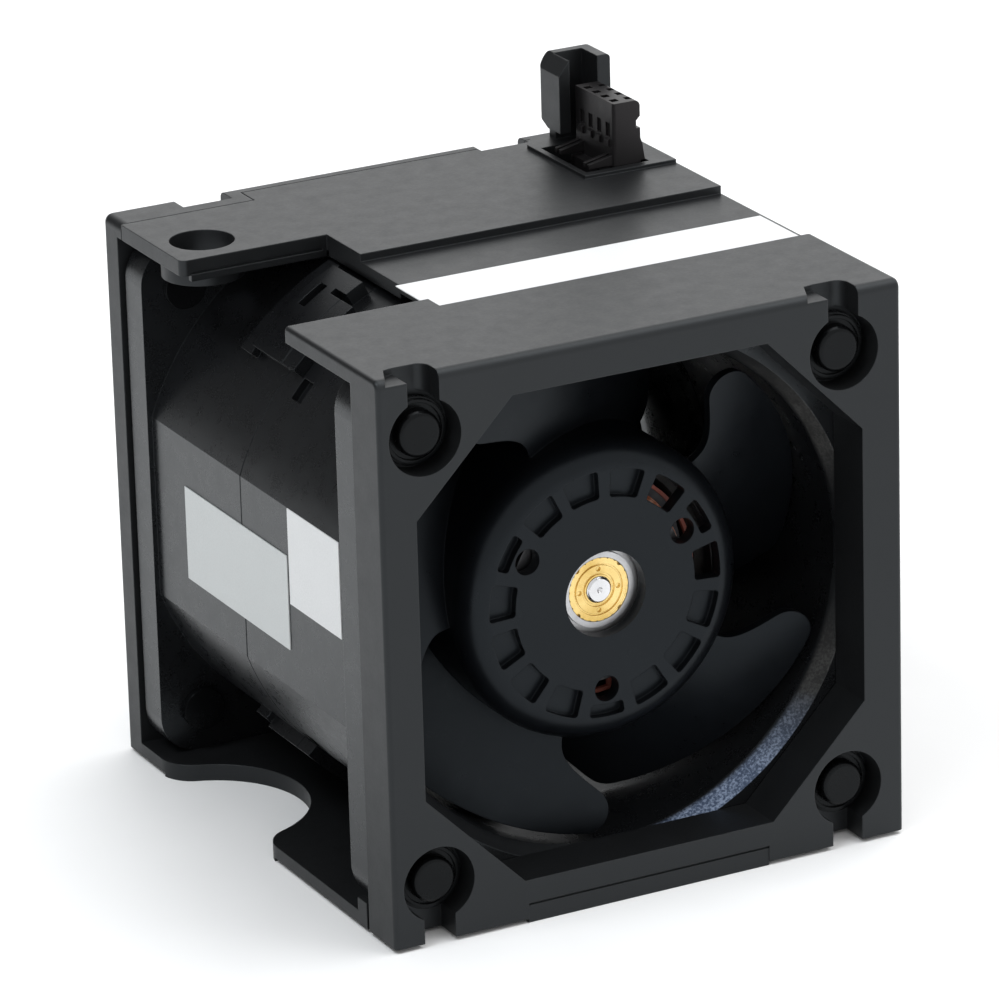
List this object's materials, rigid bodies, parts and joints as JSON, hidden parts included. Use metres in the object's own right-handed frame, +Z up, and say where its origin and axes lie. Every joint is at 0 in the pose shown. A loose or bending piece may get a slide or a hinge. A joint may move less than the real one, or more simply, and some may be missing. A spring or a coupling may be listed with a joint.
{
  "type": "server fan module",
  "caption": "Hot-swap server fan module: two counter-rotating fans in a two-shell black plastic carrier with a connector and guard post on top.",
  "frame": {"origin": "middle of the bounding box on the underside", "axes": "+Z up, towards the connector; +Y from the air inlet face to the outlet face; +X towards the connector's side"},
  "size_m": [0.0624, 0.0668, 0.0745],
  "materials": {
    "carrier_plastic": "fine moulded texture",
    "frame_plastic": "moulded, slightly glossy inside the duct",
    "impeller_plastic": "moulded, satin",
    "connector_plastic": "satin",
    "contact_metal": "plated",
    "rubber": "satin",
    "label_film": "blank",
    "lead_sleeve": "smooth sleeve",
    "yoke_steel": "plated",
    "bearing_steel": "ground",
    "magnet": "bonded ferrite",
    "brass": "turned",
    "core_steel": "laminated stack",
    "insulator": "moulded",
    "copper": "enamelled copper wire",
    "board": "solder resist",
    "chip": "moulded package"
  },
  "bodies": {
    "root": {"carrier_front_shell": "carrier_plastic", "carrier_rear_shell": "carrier_plastic", "connector_housing": "connector_plastic", "connector_contacts": "contact_metal", "fan_frame_front": "frame_plastic", "fan_frame_rear": "frame_plastic", "front_isolators": "rubber", "rear_isolators": "rubber", "top_label": "label_film", "long_side_label": "label_film", "short_side_label": "label_film", "front_motor_leads": "lead_sleeve", "rear_motor_leads": "lead_sleeve", "front_bearing_outer_rings": "bearing_steel", "front_bearing_balls": "bearing_steel", "front_bearing_tube": "brass", "front_preload_spring": "yoke_steel", "front_stator_core": "core_steel", "front_stator_insulator": "insulator", "front_windings": "copper", "front_circuit_board": "board", "front_board_components": "chip", "rear_bearing_outer_rings": "bearing_steel", "rear_bearing_balls": "bearing_steel", "rear_bearing_tube": "brass", "rear_preload_spring": "yoke_steel", "rear_stator_core": "core_steel", "rear_stator_insulator": "insulator", "rear_windings": "copper", "rear_circuit_board": "board", "rear_board_components": "chip"},
    "front_rotor": {"front_impeller": "impeller_plastic", "front_rotor_yoke": "yoke_steel", "front_magnet_ring": "magnet", "front_shaft": "yoke_steel", "front_brass_bushing": "brass", "front_retaining_clip": "yoke_steel", "front_bearing_inner_rings": "bearing_steel"},
    "rear_rotor": {"rear_impeller": "impeller_plastic", "rear_rotor_yoke": "yoke_steel", "rear_magnet_ring": "magnet", "rear_shaft": "yoke_steel", "rear_brass_bushing": "brass", "rear_retaining_clip": "yoke_steel", "rear_bearing_inner_rings": "bearing_steel"}
  },
  "joints": [
    {"name": "front_rotor_spin", "type": "hinge", "parent": "root", "child": "front_rotor", "pos_m": [-0.0008, -0.0254, 0.03195], "axis": [0, 1, 0], "continuous": true},
    {"name": "rear_rotor_spin", "type": "hinge", "parent": "root", "child": "rear_rotor", "pos_m": [-0.0008, 0.027, 0.03195], "axis": [0, 1, 0], "continuous": true}
  ]
}
